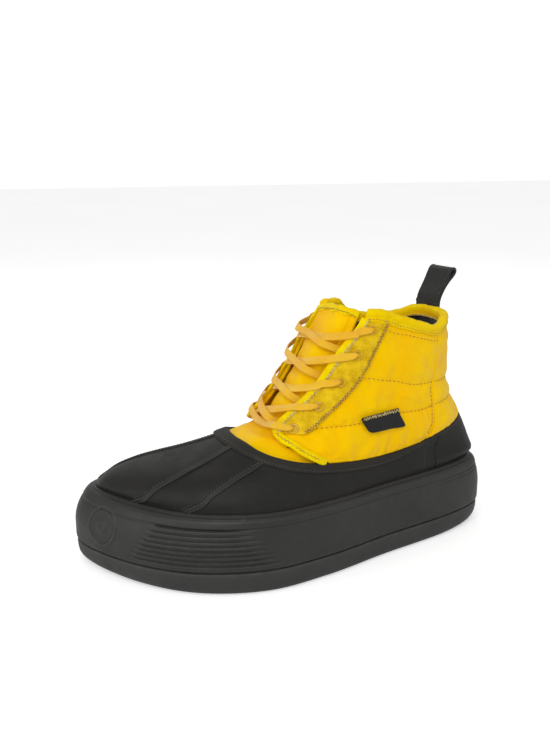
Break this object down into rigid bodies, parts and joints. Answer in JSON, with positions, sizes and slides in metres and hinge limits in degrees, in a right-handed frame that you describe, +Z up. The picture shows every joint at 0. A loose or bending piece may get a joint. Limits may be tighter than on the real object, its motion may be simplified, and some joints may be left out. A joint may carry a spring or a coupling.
{
  "type": "quilted duck boot",
  "caption": "Lace-up winter ankle boot for the left foot: quilted yellow upper on a black rubber shell and a thick rubber sidewall sole, with a heel pull loop.",
  "frame": {"origin": "on the ground under the middle of the sole", "axes": "+X towards the toe, +Y towards the outer (lateral) side of this left boot, +Z up"},
  "size_m": [0.3092, 0.1216, 0.1976],
  "materials": {
    "outsole": "matte black rubber",
    "sidewall": "satin black rubber",
    "midsole_foam": "foam",
    "shank": "spring steel strip",
    "board": "fibre board",
    "footbed": "knitted cover over foam",
    "shell_rubber": "matte grained rubber",
    "stiffener": "thermoplastic stiffener",
    "lining": "black knitted lining",
    "quilt": "quilted yellow nylon",
    "facing": "gold ripstop nylon",
    "tape": "lemon woven tape",
    "eyelet": "yellow lacquered eyelet",
    "lace": "flat woven mustard lace",
    "foam": "collar foam",
    "webbing": "black webbing",
    "label": "black woven label, left blank",
    "stitch": "cream thread"
  },
  "bodies": {
    "boot": {"outsole": "outsole", "sidewall": "sidewall", "midsole_foam": "midsole_foam", "shank": "shank", "lasting_board": "board", "footbed": "footbed", "vamp_center": "shell_rubber", "vamp_inner_lateral": "shell_rubber", "vamp_inner_medial": "shell_rubber", "vamp_outer_lateral": "shell_rubber", "vamp_outer_medial": "shell_rubber", "heel_panel": "shell_rubber", "vamp_seam_ribs": "shell_rubber", "shell_band": "shell_rubber", "toe_puff": "stiffener", "heel_counter": "stiffener", "vamp_lining": "lining", "throat_panel": "quilt", "quarter_lateral": "quilt", "quarter_medial": "quilt", "back_panel": "quilt", "facing_lateral": "facing", "facing_medial": "facing", "facing_tape_lateral": "tape", "facing_tape_medial": "tape", "eyelets_lateral": "eyelet", "eyelets_medial": "eyelet", "lace": "lace", "collar_binding": "tape", "collar_foam": "foam", "collar_lining": "lining", "loop_anchor": "webbing", "label_stitch_bar": "stitch"},
    "tongue": {"tongue": "quilt", "tongue_binding": "tape"},
    "loop": {"pull_loop": "webbing"},
    "label": {"side_label": "label"}
  },
  "joints": [
    {"name": "tongue_fold", "type": "hinge", "parent": "boot", "child": "tongue", "pos_m": [0.02171, 0.00844, 0.09927], "axis": [-0.087, 0.9962, 0], "range_deg": [-12, 0]},
    {"name": "loop_flop", "type": "hinge", "parent": "boot", "child": "loop", "pos_m": [-0.11341, -0.01155, 0.17455], "axis": [-0.1757, 0.9845, 0], "range_deg": [-50, 30]},
    {"name": "label_flap", "type": "hinge", "parent": "boot", "child": "label", "pos_m": [-0.0445, 0.043, 0.10437], "axis": [0.9922, 0.0897, -0.0863], "range_deg": [0, 60]}
  ]
}
